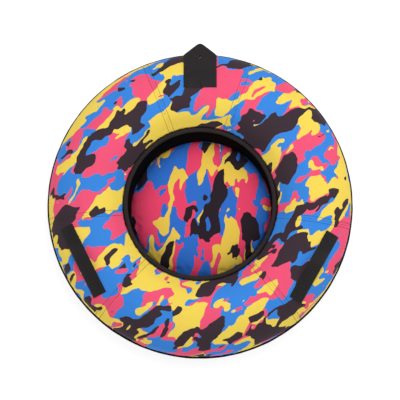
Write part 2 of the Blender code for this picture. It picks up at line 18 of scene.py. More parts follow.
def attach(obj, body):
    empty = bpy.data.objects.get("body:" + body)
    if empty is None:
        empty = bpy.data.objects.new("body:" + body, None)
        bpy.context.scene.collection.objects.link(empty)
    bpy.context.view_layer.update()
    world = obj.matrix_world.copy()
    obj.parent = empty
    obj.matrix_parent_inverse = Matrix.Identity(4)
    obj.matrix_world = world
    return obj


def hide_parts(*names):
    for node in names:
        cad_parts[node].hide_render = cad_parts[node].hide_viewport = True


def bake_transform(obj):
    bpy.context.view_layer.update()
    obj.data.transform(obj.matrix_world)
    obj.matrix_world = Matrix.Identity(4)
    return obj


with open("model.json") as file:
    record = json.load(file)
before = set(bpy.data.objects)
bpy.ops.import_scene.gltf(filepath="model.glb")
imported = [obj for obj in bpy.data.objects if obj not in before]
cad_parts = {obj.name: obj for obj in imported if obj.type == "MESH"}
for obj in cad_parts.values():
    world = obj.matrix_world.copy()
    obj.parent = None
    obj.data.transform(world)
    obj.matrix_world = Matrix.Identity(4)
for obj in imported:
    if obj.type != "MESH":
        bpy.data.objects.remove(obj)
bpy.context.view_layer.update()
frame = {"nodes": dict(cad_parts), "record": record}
scene = bpy.context.scene

# Ring and cover, as the solids have them
cover_outer_radius = 0.461
cover_hole_radius = 0.225
ring_height = 0.230
floor_contact_width = 0.090
panel_cloth = 0.0012
base_cloth = 0.002
wall_cloth = 0.0015
seam_angle = radians(-8)
narrow_arc = radians(41)
panel_joint = 0.0002
front_panel_at = radians(91)
left_panel_at = radians(207)
right_panel_at = radians(331)
piping_radius = 0.0035
piping_stand = 0.001
rim_outer_radius = 0.2325
rim_band_width = 0.0145
rim_band_height = 0.010
rim_middle_height = 0.168
rim_edge_share = 0.2
gap = 0.0003
tube_slack = 0.0028
wall_clearance = 0.0016
half_breadth = (cover_outer_radius - cover_hole_radius) / 2
section_radius = (cover_outer_radius + cover_hole_radius) / 2
upper_rise = ring_height / 2
contact_share = floor_contact_width / 2 / half_breadth
lower_rise = upper_rise / sqrt(1 - contact_share**2)
floor_angle = -asin(upper_rise / lower_rise)
wall_radius = cover_hole_radius + tube_slack - wall_clearance - wall_cloth
floor_top = base_cloth + gap

# How stretched cloth stands off those plain shapes
seam_groove, seam_groove_reach = 0.0004, 0.0026
seam_valley, seam_valley_reach = 0.0018, 0.05
seam_row, row_dent, row_dent_reach = 0.008, 0.0006, 0.0012
seam_pucker, rim_pucker, hem_pucker = 0.0008, 0.0009, 0.0016
slow_unevenness = 0.0008
hem_draw, hem_draw_width, hem_draw_reach = 0.0023, 0.024, 0.022
cover_slack = 0.0024
rim_wobble, piping_wobble = 0.0003, 0.0004
wall_bulge, wall_bulge_least = 0.025, 0.003
wall_bulge_at = radians(108)
wall_bulge_height = 0.078
wall_unevenness = 0.0006
base_fold, base_pucker = 0.0010, 0.0012
floor_crease, floor_flat_edge = 0.0003, 0.012

# Mesh steps of turned cloths; a cover panel's are finer near its two seams
cover_step, cover_seam_step, fine_reach = 0.005, 0.0013, 0.012
base_step, tape_step = 0.007, 0.002

# Seat
pad_thickness = 0.030
pad_corner = 0.003
pad_inset = 0.0002
seat_bottom = floor_top + pad_thickness + gap
seat_edge_height = 0.076
seat_crown = 0.038
seat_edge_clearance = 0.0032
seat_shoulder_drop = 0.016
seat_draw_in = 0.016
seat_bottom_draw_in = 0.040
seat_shrink, seat_top_slack, seat_turn_drop = 0.004, 0.004, 0.004
gather_reach, gather_reach_up = 0.022, 0.02
seat_edge_gap, seat_least_gap = 0.0018, 0.0012
seat_gather, seat_fold = 0.0016, 0.0012
seat_lean_share, seat_sink_share, seat_sink = 0.72, 0.85, 0.004
seat_voxel = 0.0055
swell_frames = 20
swell_limit = 0.010
SWELLING = {
    "quality": 6, "mass": 0.25, "tension_stiffness": 18, "compression_stiffness": 18, "shear_stiffness": 8,
    "bending_stiffness": 0.25, "use_pressure": True, "uniform_pressure_force": 4, "vertex_group_mass": "held",
    "vertex_group_shrink": "gathered", "shrink_min": 0.0, "shrink_max": -0.10,
}

# Zipper opening
zipper_at = radians(269)
zipper_slope = radians(-30)
zipper_arc = 0.350
zipper_opening_width = 0.018
zipper_width = 0.023
zipper_tape = 0.001
zipper_stand = 0.0006
zipper_row_inset = 0.0024
tooth_pitch = 0.006
tooth_width = 0.003
tooth_length = 0.003
tooth_thickness = 0.002
tooth_free_share = 0.65
tooth_gap = 0.0014
tooth_neck, tooth_neck_at, tooth_neck_reach = 0.24, 0.0004, 0.0006
tape_unevenness = 0.00006
tape_end_margin = 0.009
tooth_sides = 14

# Straps
webbing_depth = 0.0025
strap_gap = 0.0005
strap_margin = 0.012
tow_width = 0.047
tow_leg_gap = 0.0055
tow_sewn_from = 0.346
tow_sewn_to = 0.403
tow_covered_half = 0.04
tow_free_leg = 0.051
tow_layer_gap = 0.002
tow_eye = 0.0034
tow_eye_reach = 0.0040
tow_fold_blunt = 0.004
hand_width = 0.045
hand_length = 0.228
hand_sewn_length = 0.050
hand_radius = 0.391
left_strap_at = radians(206.5)
right_strap_at = radians(330.5)
grip_rise = 0.018

# Stitches: pitch, length and thread radius
SEAM_STITCH = (0.0040, 0.0033, 0.00055)
STRAP_STITCH = (0.0036, 0.0026, 0.00045)
TAPE_STITCH = (0.0030, 0.0022, 0.0003)
stitch_inset = 0.004
hand_row_inset = 0.005
tow_last_row_inset = 0.011
tow_row_apart = 0.0085

# Camera: the photograph's frame is 400 pixels wide
camera_distance = 8.0
camera_tilt = radians(85)
camera_target = Vector((-0.0003, 0.0165, 0.115))
view_width = 1.2145
sensor_width = 36.0

# Light: the world's strength at the horizon and overhead, then each lamp's name, place, size and power
world_horizon, world_zenith = 1.04, 0.24
LAMPS = [("overhead", (0.25, 0.5, 2.65), 1.3, 42.5), ("side", (2.6, 0.6, 0.8), 1.0, 4)]
lamp_target = Vector((0, 0, 0.1))
floor_side = 6.0
floor_drop = 0.0005
floor_glow = 0.85

# Printed camouflage, with its scales in blobs per metre of cloth
print_scale = 0.88
print_stretch = 1.8
finger_scale, finger_reach = 30.0, (0.040, 0.020, 0.0)
knob_scale, knob_reach = 84.0, (0.008, 0.010, 0.0)
knob_shift = (7.31, 2.17, 4.73)
layer_shift = (3.713, 1.937, 5.371)
LAYER_SCALES = [(16.2, 38.0), (17.1, 40.0), (16.6, 40.0)]
lobes_per_blob, lobe_share = 2.6, 0.50
cell_share = 0.150

# Colours, as light reflected. A print has pink-red, blue, yellow and charcoal, and a level for each after the first.
RING_PRINT = [(0.86, 0.092, 0.190), (0.041, 0.238, 0.718), (0.885, 0.66, 0.094), (0.046, 0.028, 0.038)]
# The seat's print is the ring's print darkened: painted shade of the well the cushion lies in.
SEAT_PRINT_SHADED = [(0.84, 0.058, 0.145), (0.030, 0.157, 0.600), (0.855, 0.59, 0.077), (0.022, 0.014, 0.020)]
RING_LEVELS = (0.672, 0.724, 0.804)
SEAT_LEVELS = (0.680, 0.752, 0.845)
# The wall is black cloth made darker than that cloth's own black: partly its colour, partly painted shade of the deep
# well.
WALL_BLACK_AND_SHADE = (0.0028, 0.0023, 0.0023)
RIM_BLACK = (0.017, 0.0118, 0.0122)
WEBBING_BLACK = (0.0085, 0.0056, 0.0066)
ZIPPER_BLACK = (0.006, 0.0055, 0.006)
RIB_SHADE = (0.004, 0.004, 0.004)
COATING = [(0.007, 0.007, 0.0075), (0.016, 0.016, 0.017)]
FLOOR_GREYS = [(0.30, 0.30, 0.30), (0.32, 0.32, 0.32)]

# Finishes without a weave: two near tones, grain scale and depth, roughness and its spread, metallic, specular
GRAINED = {
    "seam_thread": ((0.055, 0.038, 0.032), (0.035, 0.025, 0.022), 900, 0.0002, 0.7, 0.1, 0.0, 0.2),
    "black_thread": ((0.016, 0.012, 0.013), (0.010, 0.008, 0.009), 900, 0.0002, 0.6, 0.1, 0.0, 0.5),
    "edge_piping": ((0.004, 0.0036, 0.004), (0.007, 0.006, 0.007), 600, 0.0001, 0.7, 0.1, 0.0, 0.15),
    "zipper_teeth": ((0.012, 0.012, 0.012), (0.018, 0.018, 0.018), 1400, 0.0001, 0.4, 0.1, 0.0, 0.5),
    "seat_foam": ((0.60, 0.58, 0.50), (0.66, 0.64, 0.58), 900, 0.0006, 0.9, 0.1, 0.0, 0.5),
    "tube_rubber": ((0.014, 0.014, 0.015), (0.022, 0.022, 0.022), 400, 0.0002, 0.55, 0.1, 0.0, 0.5),
    "valve_brass": ((0.62, 0.43, 0.17), (0.74, 0.55, 0.26), 700, 0.00005, 0.32, 0.06, 1.0, 0.5),
    "valve_cap_plastic": ((0.016, 0.016, 0.017), (0.024, 0.024, 0.025), 800, 0.00006, 0.42, 0.1, 0.0, 0.5),
    "zipper_metal": ((0.13, 0.13, 0.14), (0.19, 0.19, 0.20), 900, 0.00004, 0.34, 0.06, 0.95, 0.5),
}


# Shader nodes
class Shader:
    """The shader of a material or the world, with short ways to add the nodes that feed it."""

    def __init__(self, owner, kind, values):
        self.owner = owner
        owner.use_nodes = True
        self.tree = owner.node_tree
        self.inputs = self.tree.nodes[kind].inputs
        self.fill(self.inputs, values)

    def fill(self, sockets, values):
        for name, value in values.items():
            self.put(value, sockets[name])

    def put(self, value, socket):
        if isinstance(value, bpy.types.NodeSocket):
            self.tree.links.new(value, socket)
        else:
            socket.default_value = value

    def add(self, kind, inputs, **settings):
        node = self.tree.nodes.new("ShaderNode" + kind)
        for name, value in settings.items():
            setattr(node, name, value)
        self.fill(node.inputs, inputs)
        return node

    def math(self, operation, *values):
        return self.add("Math", dict(enumerate(values)), operation=operation).outputs[0]

    def vector(self, operation, *values):
        return self.add("VectorMath", dict(enumerate(values)), operation=operation).outputs[0]

    def uv(self):
        return self.add("UVMap", {}, uv_map="cloth").outputs[0]

    def place(self):
        return self.add("TexCoord", {}).outputs["Object"]

    def noise(self, scale, detail=0.0, roughness=0.5, where=None, output="Fac"):
        inputs = {"Vector": where or self.uv(), "Scale": scale, "Detail": detail, "Roughness": roughness}
        return self.add("TexNoise", inputs).outputs[output]

    def mix(self, share, *colors):
        """The first colour at a share of 0, the second at 1; a colour is a socket or three numbers."""
        node = self.add("Mix", {0: share}, data_type="RGBA")
        for color, socket in zip(colors, node.inputs[6:8]):
            self.put((*color, 1.0) if isinstance(color, tuple) else color, socket)
        return node.outputs[2]

    def spread(self, value, low, high, to_low, to_high):
        inputs = {"Value": value, 1: low, 2: high, 3: to_low, 4: to_high}
        return self.add("MapRange", inputs).outputs[0]

    def split(self):
        """The flat cloth's two coordinates."""
        return self.add("SeparateXYZ", {0: self.uv()}).outputs[:2]

    def sine(self, where, pitch):
        return self.math("SINE", self.math("MULTIPLY", where, tau / pitch))

    def bump(self, height, distance, strength, under=None):
        inputs = {"Height": height, "Distance": distance, "Strength": strength}
        if under is not None:
            inputs["Normal"] = under
        return self.add("Bump", inputs).outputs[0]

    def creased(self, creases, threads):
        """Creases of (scale, depth, strength) in the cloth, under threads of (height, depth, strength)."""
        scale, *crease = creases
        return self.bump(*threads, self.bump(self.noise(scale, 2.0), *crease))

    def finish(self, color, normal, roughness):
        self.fill(self.inputs, {"Base Color": color, "Normal": normal, "Roughness": roughness})
        return self.owner


def principled(name, metallic=0.0, sheen=0.0, specular=0.5):
    values = {"Metallic": metallic, "Specular IOR Level": specular, "Sheen Weight": sheen}
    return Shader(bpy.data.materials.new(name), "Principled BSDF", values)


def camouflage(shader, palette, levels, turned, shift):
    """Four-colour camouflage on the cloth's flat coordinates: layered blobs, long one way, with fingers and knobs."""
    mapping = {"Vector": shader.uv(), "Rotation": (0, 0, -turned), "Location": shift}
    placed = shader.add("Mapping", mapping).outputs[0]
    flat = shader.vector("MULTIPLY", placed, (print_scale / print_stretch, print_scale, 1.0))
    aside = shader.vector("ADD", flat, knob_shift)
    for where, scale, reach in ((flat, finger_scale, finger_reach), (aside, knob_scale, knob_reach)):
        push = shader.vector("SUBTRACT", shader.noise(scale, where=where, output="Color"), (0.5, 0.5, 0.5))
        flat = shader.vector("MULTIPLY_ADD", push, reach, flat)
    color = palette[0]
    for layer, (tone, level, (blob_scale, cell_scale)) in enumerate(zip(palette[1:], levels, LAYER_SCALES), 1):
        where = shader.vector("ADD", flat, tuple(layer * step for step in layer_shift))
        inputs = {"Vector": where, "Scale": cell_scale, "Smoothness": 0.5}
        cells = shader.add("TexVoronoi", inputs, voronoi_dimensions="2D", feature="SMOOTH_F1")
        blobs, lobes = (shader.noise(scale, where=where) for scale in (blob_scale, lobes_per_blob * blob_scale))
        field = shader.math("MULTIPLY_ADD", lobes, lobe_share, blobs)
        field = shader.math("MULTIPLY_ADD", cells.outputs["Distance"], -cell_share, field)
        color = shader.mix(shader.math("GREATER_THAN", field, level), color, tone)
    return color


def weave(shader, pitch):
    """Plain weave: threads over and under each other, as a height from 0 to 1."""
    first, second = (shader.sine(way, pitch) for way in shader.split())
    return shader.math("MULTIPLY_ADD", shader.math("MULTIPLY", first, second), 0.5, 0.5)


def printed_cloth(name, palette, levels, turned, shift):
    """Printed polyester, soiled a little, with its threads just showing."""
    shader = principled(name, specular=0.08)
    print_color = camouflage(shader, palette, levels, turned, shift)
    soil = shader.noise(9.0, 3.0)
    threads = weave(shader, 0.0011)
    dims = shader.spread(soil, 0.3, 0.7, 0.955, 1.0), shader.spread(threads, 0, 1, 0.96, 1.0)
    color = shader.vector("MULTIPLY", print_color, shader.math("MULTIPLY", *dims))
    normal = shader.creased((45.0, 0.0012, 0.35), (threads, 0.00012, 0.6))
    return shader.finish(color, normal, shader.spread(soil, 0.3, 0.7, 0.62, 0.78))


def woven_cloth(name, color, pitch, roughness, sheen=0.02, specular=0.2):
    """Plain black cloth or tape, worn lighter in places and darker between its threads."""
    shader = principled(name, sheen=sheen, specular=specular)
    threads = weave(shader, pitch)
    wear = shader.noise(14.0, 3.0)
    worn = tuple(1.35 * channel for channel in color)
    paint = shader.mix(shader.spread(wear, 0.35, 0.7, 0, 1), color, worn)
    paint = shader.mix(shader.spread(threads, 0, 1, 0.25, 0), paint, (0, 0, 0))
    normal = shader.creased((38.0, 0.001, 0.4), (threads, pitch / 8, 0.7))
    return shader.finish(paint, normal, shader.spread(wear, 0.3, 0.7, roughness - 0.06, roughness + 0.06))


def webbing_material():
    """Ribbed webbing: cords along its length crossed by fine picks."""
    shader = principled("webbing", sheen=0.02, specular=0.25)
    along, across = shader.split()
    picks, cords = shader.sine(along, 0.0021), shader.sine(across, 0.0032)
    ribs = shader.math("MULTIPLY_ADD", shader.math("ADD", picks, cords), 0.25, 0.5)
    wear = shader.noise(55.0, 3.0)
    worn = tuple(1.5 * channel for channel in WEBBING_BLACK)
    paint = shader.mix(shader.spread(wear, 0.4, 0.7, 0, 1), WEBBING_BLACK, worn)
    paint = shader.mix(shader.spread(ribs, 0, 0.5, 0.5, 0), paint, RIB_SHADE)
    return shader.finish(paint, shader.bump(ribs, 0.00045, 0.8), shader.spread(wear, 0.3, 0.7, 0.58, 0.72))


def coated_cloth():
    """Tarpaulin: a woven core under a smooth black coat, scuffed a little."""
    shader = principled("coated_base_cloth", specular=0.22)
    threads = weave(shader, 0.0022)
    scuff = shader.noise(22.0, 5.0, 0.65)
    paint = shader.mix(shader.spread(scuff, 0.45, 0.75, 0, 1), *COATING)
    normal = shader.creased((26.0, 0.0012, 0.4), (threads, 0.00016, 0.7))
    return shader.finish(paint, normal, shader.spread(scuff, 0.35, 0.75, 0.34, 0.55))


def grained(name):
    """Rubber, plastic, foam, thread or metal: two near tones, a fine grain and an uneven gloss."""
    color, other, scale, depth, roughness, spread, metallic, specular = GRAINED[name]
    shader = principled(name, metallic=metallic, specular=specular)
    grain = shader.noise(scale, 4.0, 0.6, shader.place())
    broad = shader.noise(scale / 12, 2.0, where=shader.place())
    paint = shader.mix(shader.spread(broad, 0.35, 0.65, 0, 1), color, other)
    gloss = shader.spread(grain, 0.3, 0.7, roughness - spread, roughness + spread)
    return shader.finish(paint, shader.bump(grain, depth, 0.6), gloss)


# Meshes
def add_object(name, data):
    made = bpy.data.objects.new(name, data)
    scene.collection.objects.link(made)
    return made


def link(name, mesh, material, slot, *nodes, body="cover"):
    """Puts a mesh in the scene on a CAD body, in place of these CAD nodes."""
    made = add_object(name, mesh)
    mesh.materials.append(material)
    if body:
        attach(made, body)
    if nodes:
        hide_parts(*nodes)
    return made


def pairs(first, second):
    """Every pair of two lines of values, as two grids."""
    return np.meshgrid(first, second, indexing="ij")


def ring_angles(steps):
    return np.linspace(0, tau, steps, endpoint=False)


def grid_faces(rows, columns, wrap_rows=False, wrap_columns=False):
    """Quads of a grid whose point (i, j) has the number i * columns + j."""
    i, j = pairs(np.arange(rows - 1 + wrap_rows), np.arange(columns - 1 + wrap_columns))
    next_i, next_j = (i + 1) % rows, (j + 1) % columns
    corners = [(i, j), (i, next_j), (next_i, next_j), (next_i, j)]
    return np.stack([a * columns + b for a, b in corners], axis=-1).reshape(-1, 4)


def make_mesh(name, points, faces, flat=None):
    """A smooth mesh from points and faces; flat gives each point's place on the flat cloth."""
    mesh = bpy.data.meshes.new(name)
    mesh.from_pydata(np.asarray(points).reshape(-1, 3).tolist(), [], [list(map(int, f)) for f in faces])
    mesh.shade_smooth()
    if flat is not None:
        lay_flat(mesh, flat)
    return mesh


def lay_flat(mesh, flat):
    layer = mesh.uv_layers.new(name="cloth")
    loops = np.zeros(len(mesh.loops), np.int32)
    mesh.loops.foreach_get("vertex_index", loops)
    layer.data.foreach_set("uv", np.asarray(flat, np.float32).reshape(-1, 2)[loops].ravel())


def solidify(made, thickness):
    """Gives a cloth its thickness, inwards from its outer face."""
    modifier = made.modifiers.new("Cloth", "SOLIDIFY")
    modifier.thickness = thickness
    modifier.offset = -1


def waves(where, lengths, seed):
    """A sum of sine waves with fixed random phases, within -1 and 1; where is in metres."""
    draw = random.Random(seed)
    total = sum(np.sin(where * tau / length + draw.uniform(0, tau)) for length in lengths)
    return total / len(lengths)


def near(distance, reach):
    return np.exp(-((distance / reach) ** 2))


def fading(distance, reach):
    return np.exp(-np.abs(distance) / reach)


def section_rise(angle):
    return upper_rise if sin(angle) >= 0 else lower_rise


def section_point(angle, inset=0.0):
    """(radius, height) on the cover's outer face, or that far inside it, at a section angle."""
    radius = section_radius + (half_breadth - inset) * cos(angle)
    return radius, upper_rise + (section_rise(angle) - inset) * sin(angle)


def section_line(first, last, count):
    return [section_point(first + (last - first) * i / count) for i in range(count + 1)]


def section_normal(angle):
    """(outward, up) from the cover's outer face at a section angle."""
    return Vector((cos(angle) / half_breadth, sin(angle) / section_rise(angle))).normalized()


def top_angle(radius):
    """The section angle at a radius on the cover's upper face."""
    return acos(max(-1, min(1, (radius - section_radius) / half_breadth)))


def on_cover(x, y, lift):
    """The point that stands lift above the cover's upper face over the plan position (x, y)."""
    outward = Vector((x, y, 0))
    angle = top_angle(outward.length)
    radius, height = section_point(angle)
    normal = section_normal(angle)
    outward.normalize()
    return outward * (radius + normal.x * lift) + Vector((0, 0, height + normal.y * lift))


def frame_at(origin, tangent, normal):
    """A frame with its X along tangent and its Z along normal."""
    made = Matrix((tangent, normal.cross(tangent), normal)).transposed().to_4x4()
    made.translation = origin
    return made


def turned(radius, angle, height):
    """Points at these radii, angles round the ring's axis, and heights."""
    return np.stack([radius * np.cos(angle), radius * np.sin(angle), height], axis=-1)


def ways_along(points):
    return np.concatenate(([0.0], np.cumsum(np.hypot(*np.diff(points, axis=0).T))))


class Profile:
    """A line of (radius, height) points that is read by the way along it, and turned about Z."""

    def __init__(self, points):
        self.points = np.array(points)
        self.ways = ways_along(self.points)
        self.length = self.ways[-1]

    def at(self, way):
        return tuple(np.interp(way, self.ways, column) for column in self.points.T)

    def normal(self, way):
        step = self.length / 400
        first, second = self.at(np.clip(way - step, 0, None)), self.at(np.clip(way + step, None, self.length))
        across, up = first[1] - second[1], second[0] - first[0]
        size = np.hypot(across, up)
        return across / size, up / size

    def surface(self, angle, way, lift):
        """Points on the turned profile, moved lift outwards."""
        radius, height = self.at(way)
        across, up = self.normal(way)
        return turned(radius + across * lift, angle, height + up * lift)


def graded(length, fine, coarse):
    """Places from 0 to length, close together near both ends."""
    places = [0.0]
    while places[-1] < length / 2:
        share = min(1, max(0, places[-1] - fine_reach) / (2 * fine_reach))
        places.append(places[-1] + fine + (coarse - fine) * share)
    half = np.array(places) * (length / 2 / places[-1])
    return np.concatenate((half, length - half[-2::-1]))


def turned_cloth(name, profile, start, arc, lift, flat_at, step, fine=None):
    """A cloth's outer face over an arc of a turned profile; fine is the step at the arc's two ends."""
    middle = float(profile.at(profile.length / 2)[0])
    around = graded(arc * middle, fine or step, step) / middle + start
    ways = np.linspace(0, profile.length, max(2, round(profile.length / step)) + 1)
    angle, way = pairs(around, ways)
    points = profile.surface(angle, way, lift(angle, way))
    return make_mesh(name, points, grid_faces(*angle.shape), flat_at(angle, way))


def rolled_out(radius):
    """How cloth that is rolled out at this radius lies flat."""
    return lambda angle, way: np.stack([angle * radius, way], axis=-1)


# Cover panels
def rim_tangent_angle(radius, height):
    across = (radius - section_radius) / half_breadth
    up = (height - upper_rise) / upper_rise
    return atan2(up, across) - acos(1 / hypot(across, up))


def cover_profile():
    rim_edge = (rim_outer_radius + 2 * gap, rim_middle_height + rim_band_height * rim_edge_share)
    leave = rim_tangent_angle(*rim_edge)
    lower = seam_angle + (piping_radius + 2 * gap) / half_breadth
    return Profile([rim_edge] + section_line(leave, lower, 240))


COVER = cover_profile()
cover_top_way = COVER.ways[np.argmax(COVER.points[:, 1])]
SEAMS = [at + side * narrow_arc / 2 for at in (front_panel_at, left_panel_at, right_panel_at) for side in (-1, 1)]


def seam_distance(angle, radius):
    """How far a point of the cover is from the nearest panel seam."""
    apart = [np.abs((angle - seam + pi) % tau - pi) for seam in SEAMS]
    return np.min(apart, axis=0) * radius


def soft_box(value, half, edge):
    return np.clip((half + edge - np.abs(value)) / edge, 0, 1)


def under_straps(angle, radius):
    """1 where a sewn strap lies on the cover, 0 away from it."""
    x, y = radius * np.cos(angle), radius * np.sin(angle)
    outer = tow_leg_gap / 2 + tow_width
    middle = (tow_sewn_from + tow_sewn_to) / 2
    covered = soft_box(x, outer, strap_margin) * soft_box(y - middle, tow_covered_half, strap_margin)
    for at in (left_strap_at, right_strap_at):
        across = x * cos(at) + y * sin(at) - hand_radius
        along = y * cos(at) - x * sin(at)
        strap = soft_box(along, hand_length / 2, strap_margin)
        covered = np.maximum(covered, strap * soft_box(across, hand_width / 2, strap_margin))
    return covered


def cover_lift(angle, way):
    """How far the blown-up cloth stands off the plain section: valleys, puckers, slow unevenness and drawn-in hem."""
    radius, _ = COVER.at(way)
    apart = seam_distance(angle, radius)
    around = angle * radius
    to_hem = COVER.length - way
    lift = -seam_groove * near(apart, seam_groove_reach) - seam_valley * near(apart, seam_valley_reach)
    lift = lift - row_dent * near(apart - seam_row, row_dent_reach)
    puckers = [
        (seam_pucker, apart, 0.014, way, (0.013, 0.019, 0.031), 3),
        (rim_pucker, way, 0.022, around, (0.016, 0.023, 0.037), 4),
        (hem_pucker, to_hem, 0.020, around, (0.014, 0.022, 0.041), 5),
    ]
    for height, distance, reach, along, lengths, seed in puckers:
        lift = lift + height * fading(distance, reach) * waves(along, lengths, seed)
    slow = slow_unevenness * waves(around + 0.6 * way, (0.11, 0.17), 6)
    lift = lift + slow * waves(way - 0.2 * around, (0.13, 0.21), 7)
    lift = lift - hem_draw * near(np.maximum(to_hem - hem_draw_width, 0), hem_draw_reach)
    lift = lift * (1 - under_straps(angle, radius))
    return np.maximum(lift, -cover_slack)


def panel_flat(angle, way):
    """Where a cover point lies on the flat printed cloth: the ring's upper face rolled out from its top."""
    rolled = section_radius + way - cover_top_way
    return np.stack([rolled * np.cos(angle), rolled * np.sin(angle)], axis=-1)


def build_panels(cloth):
    """Six panels that meet edge to edge. Their print runs on over the seams."""
    half = narrow_arc / 2
    front, left, right = front_panel_at, left_panel_at, right_panel_at
    panels = [
        ("front", front - half, front + half),
        ("left_strap", left - half, left + half),
        ("right_strap", right - half, right + half),
        ("left", front + half, left - half),
        ("rear", left + half, right - half),
        ("right", right + half - tau, front - half),
    ]
    for name, first, last in panels:
        node = "top_panel_" + name
        start, arc = first + panel_joint, last - first - 2 * panel_joint
        mesh = turned_cloth(node, COVER, start, arc, cover_lift, panel_flat, cover_step, cover_seam_step)
        panel = link("printed_" + node, mesh, cloth, "printed_cloth", node)
        solidify(panel, panel_cloth)


# Stitches
def sew(name, rows, stitch, thread, slot):
    """Rows of short thread lengths. A row is a function from a way to (point, normal), and its length."""
    pitch, length, thickness = stitch
    points, faces, sides = [], [], 5
    for at, whole in rows:
        for index in range(int(whole / pitch)):
            first = (index + 0.2) * pitch
            start, up = at(first)
            end, _ = at(first + length)
            start, end, up = Vector(start), Vector(end), Vector(up)
            axis = (end - start).normalized()
            side = axis.cross(up).normalized()
            base = len(points)
            points.append(start - up * thickness * 0.6)
            for share in (0.18, 0.82):
                middle = start.lerp(end, share)
                for k in range(sides):
                    turn = tau * k / sides
                    points.append(middle + (side * cos(turn) + up * (sin(turn) + 0.5)) * thickness)
            points.append(end - up * thickness * 0.6)
            for k in range(sides):
                a, b = base + 1 + k, base + 1 + (k + 1) % sides
                c, d = a + sides, b + sides
                faces += [(base, a, b), (a, c, d, b), (base + 1 + 2 * sides, d, c)]
    link(name, make_mesh(name, [tuple(p) for p in points], faces), thread, slot)


def cover_row(at_angle, offset):
    """A stitch row along a seam, that far to its side."""

    def at(way):
        way = min(way, COVER.length)
        angle = at_angle + offset / COVER.at(way)[0]
        point = COVER.surface(np.array(angle), np.array(way), cover_lift(np.array(angle), np.array(way)))
        across, up = COVER.normal(way)
        return point, (across * cos(angle), across * sin(angle), up)

    return at, COVER.length - stitch_inset


def straight_row(on_strap, start, end):
    """A stitch row between two places on a strap; on_strap gives the point and normal at a place."""
    length = dist(start, end)

    def at(way):
        share = way / length
        return on_strap(*(a + (b - a) * share for a, b in zip(start, end)))

    return at, length


def box_lines(left, right, low, high):
    corners = [(left, low), (right, low), (right, high), (left, high)]
    return list(zip(corners, corners[1:] + corners[:1]))


def build_seam_stitches(thread):
    rows = [cover_row(seam, side * seam_row) for seam in SEAMS for side in (-1, 1)]
    sew("seam_stitches", rows, SEAM_STITCH, thread, "binding_tape")


# Rim, wall, piping and base
def ring_tube(name, radius, height, outline, steps, wobble):
    """A closed ring whose section is an outline of (outward, up) points about (radius, height)."""
    outline = np.array(outline)
    angle, index = pairs(ring_angles(steps), np.arange(len(outline)))
    around = angle * radius
    out = outline[index, 0] + wobble * waves(around, (0.05, 0.083, 0.13), 11)
    up = outline[index, 1] + wobble * waves(around, (0.06, 0.09, 0.15), 12)
    flat = np.stack([around, ways_along(outline)[index]], axis=-1)
    return make_mesh(name, turned(radius + out, angle, height + up), grid_faces(*angle.shape, True, True), flat)


def rounded_outline(half_width, half_height, power, count):
    """A closed outline between an oval and a box, clockwise."""
    points = []
    for i in range(count):
        a = -tau * i / count
        c, s = cos(a), sin(a)
        size = (abs(c) ** power + abs(s) ** power) ** (-1 / power)
        points.append((half_width * c * size, half_height * s * size))
    return points


def build_rim(tape):
    radius = rim_outer_radius - rim_band_width / 2
    outline = rounded_outline(rim_band_width / 2 - rim_wobble, rim_band_height / 2 - rim_wobble, 2.6, 20)
    mesh = ring_tube("rim_binding_tape", radius, rim_middle_height, outline, 300, rim_wobble)
    link("rim_binding_tape", mesh, tape, "binding_tape", "rim_binding")


def build_piping(cloth):
    radius, height = section_point(seam_angle, -piping_stand)
    outline = rounded_outline(piping_radius, piping_radius, 2.0, 12)
    mesh = ring_tube("edge_piping_cord", radius, height, outline, 420, piping_wobble)
    link("edge_piping_cord", mesh, cloth, "piping", "edge_piping")


def wall_lean(angle):
    """How far the blown-up ring presses the wall into the well, most on the side away from the rider's legs."""
    facing = (1 + np.cos(angle - wall_bulge_at)) / 2
    return wall_bulge_least + (wall_bulge - wall_bulge_least) * facing**1.5


def build_wall(cloth):
    top = rim_middle_height - rim_band_height / 2 - gap
    depth = top - floor_top
    angle, way = pairs(ring_angles(240), np.linspace(0, depth, 28))
    height = top - way
    above, below = (top - height) / (top - wall_bulge_height), (height - floor_top) / (wall_bulge_height - floor_top)
    pressed = wall_lean(angle) * np.sin(pi / 2 * np.where(height > wall_bulge_height, above, below))
    uneven = wall_unevenness * (1 - waves(angle * wall_radius, (0.035, 0.06, 0.1), 21))
    radius = wall_radius - (pressed + uneven * np.sin(pi * way / depth))
    faces = grid_faces(*angle.shape, True)[:, ::-1]
    mesh = make_mesh("seat_wall_cloth", turned(radius, angle, height), faces, rolled_out(wall_radius)(angle, way))
    wall = link("seat_wall_cloth", mesh, cloth, "black_cloth", "seat_wall")
    solidify(wall, wall_cloth)


def base_lift(profile, angle, way):
    """Long shallow folds of the coated cloth, deepest between the outer seam and the floor."""
    around = angle * cover_outer_radius
    drawn = waves(around + 0.4 * way, (0.07, 0.12, 0.19), 31)
    puckers = base_pucker * fading(way, 0.018) * waves(around, (0.017, 0.026, 0.043), 32)
    return (base_fold * drawn + puckers - base_fold) * np.sin(pi * way / profile.length)


